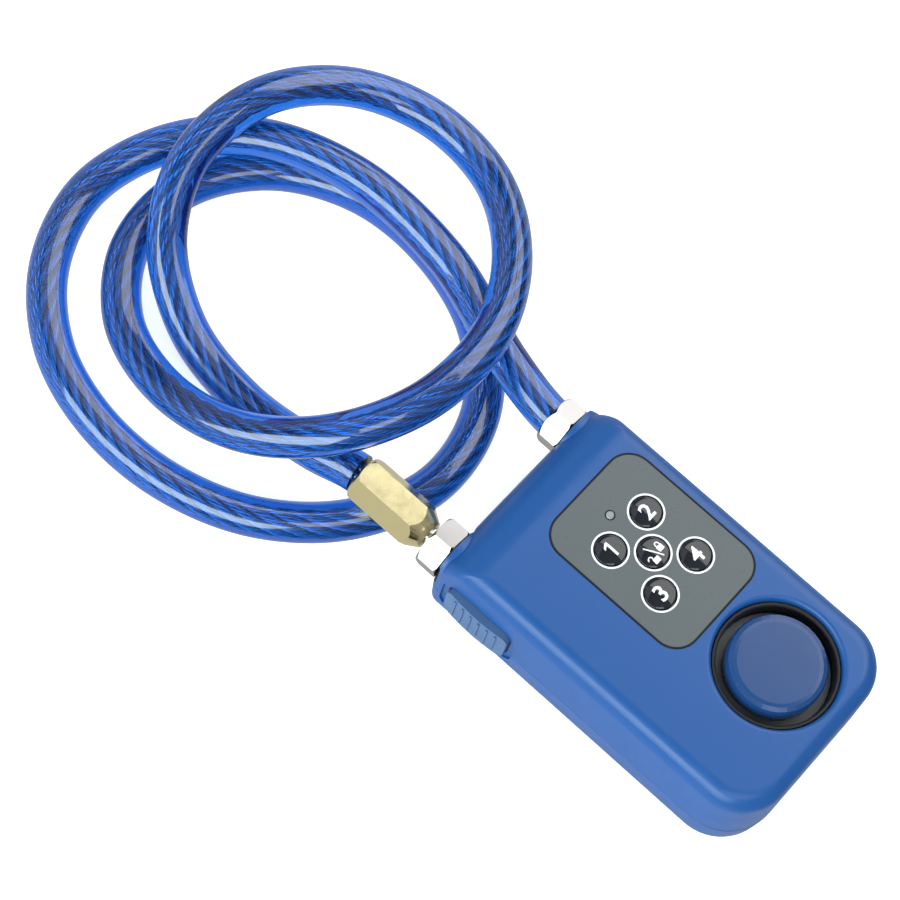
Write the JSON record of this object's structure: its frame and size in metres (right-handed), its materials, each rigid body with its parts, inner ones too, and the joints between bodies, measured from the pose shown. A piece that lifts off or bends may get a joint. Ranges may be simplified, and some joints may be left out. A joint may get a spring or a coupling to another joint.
{
  "type": "alarm cable lock",
  "caption": "Keypad alarm cable lock: a flat siren case with push keys and a coiled clear-sheathed steel cable that plugs back into a socket beside its fixed end.",
  "frame": {"origin": "on the flat back of the case, under the middle of the face; the part lies on its back, so z = 0 is the table", "axes": "+Z out of the keypad face, +Y along the case towards the cable end, +X towards the side of the fixed cable"},
  "size_m": [0.1304, 0.2413, 0.0349],
  "materials": {
    "blue_abs": "satin",
    "grey_panel": "satin tint",
    "key_black": "gloss",
    "white_print": "printed ink and clear lens",
    "side_key_blue": "satin",
    "grey_plastic": "matte",
    "black_plastic": "matte",
    "black_rubber": "matte",
    "nickel": "polished",
    "brass": "polished",
    "steel": "bright",
    "clear_blue_pvc": "clear gloss",
    "board_green": "solder mask",
    "battery_skin": "satin"
  },
  "bodies": {
    "case": {"rear_shell": "blue_abs", "front_shell": "blue_abs", "housing_seal": "black_rubber", "battery_door": "blue_abs", "door_screw": "steel", "case_screw_1": "steel", "case_screw_2": "steel", "case_screw_3": "steel", "case_screw_4": "steel", "keypad_panel": "grey_panel", "led": "white_print", "keypad_membrane": "grey_plastic", "tact_switch_1": "black_plastic", "tact_switch_2": "black_plastic", "tact_switch_3": "black_plastic", "tact_switch_4": "black_plastic", "tact_switch_lock": "black_plastic", "main_board": "board_green", "main_chip": "black_plastic", "vibration_sensor": "steel", "siren_cover": "blue_abs", "siren_grille": "grey_plastic", "siren_liner": "black_plastic", "siren_transducer": "black_plastic", "battery_tray": "black_plastic", "battery_1": "battery_skin", "battery_2": "battery_skin", "battery_3": "battery_skin", "contact_tail_1": "steel", "contact_tail_2": "steel", "contact_tail_3": "steel", "contact_head_1": "steel", "contact_head_2": "steel", "contact_head_3": "steel", "key_spring": "steel", "latch_bracket": "grey_plastic", "socket_gasket": "black_rubber", "socket_collar": "nickel", "socket_sleeve": "steel", "socket_clip": "steel", "anchor_gasket": "black_rubber", "anchor_collar": "nickel", "cable_anchor": "steel", "cable_sheath": "clear_blue_pvc", "cable_core": "steel"},
    "plug": {"ferrule": "brass", "lock_pin": "steel"},
    "thumb_key": {"side_key": "side_key_blue", "lock_bolt": "steel"},
    "push_key_1": {"key_1": "key_black"},
    "push_key_2": {"key_2": "key_black"},
    "push_key_3": {"key_3": "key_black"},
    "push_key_4": {"key_4": "key_black"},
    "push_key_lock": {"key_lock": "key_black"}
  },
  "joints": [
    {"name": "plug_pull", "type": "slide", "parent": "case", "child": "plug", "axis": [0, 1, 0], "range_m": [0, 0.019], "deforming": ["cable_sheath", "cable_core"]},
    {"name": "side_key_press", "type": "slide", "parent": "case", "child": "thumb_key", "axis": [1, 0, 0], "range_m": [0, 0.0013], "stiffness_N_per_m": 500, "deforming": ["key_spring"]},
    {"name": "key_1_press", "type": "slide", "parent": "case", "child": "push_key_1", "axis": [0, 0, -1], "range_m": [0, 0.0004], "stiffness_N_per_m": 600},
    {"name": "key_2_press", "type": "slide", "parent": "case", "child": "push_key_2", "axis": [0, 0, -1], "range_m": [0, 0.0004], "stiffness_N_per_m": 600},
    {"name": "key_3_press", "type": "slide", "parent": "case", "child": "push_key_3", "axis": [0, 0, -1], "range_m": [0, 0.0004], "stiffness_N_per_m": 600},
    {"name": "key_4_press", "type": "slide", "parent": "case", "child": "push_key_4", "axis": [0, 0, -1], "range_m": [0, 0.0004], "stiffness_N_per_m": 600},
    {"name": "key_lock_press", "type": "slide", "parent": "case", "child": "push_key_lock", "axis": [0, 0, -1], "range_m": [0, 0.0004], "stiffness_N_per_m": 600}
  ]
}
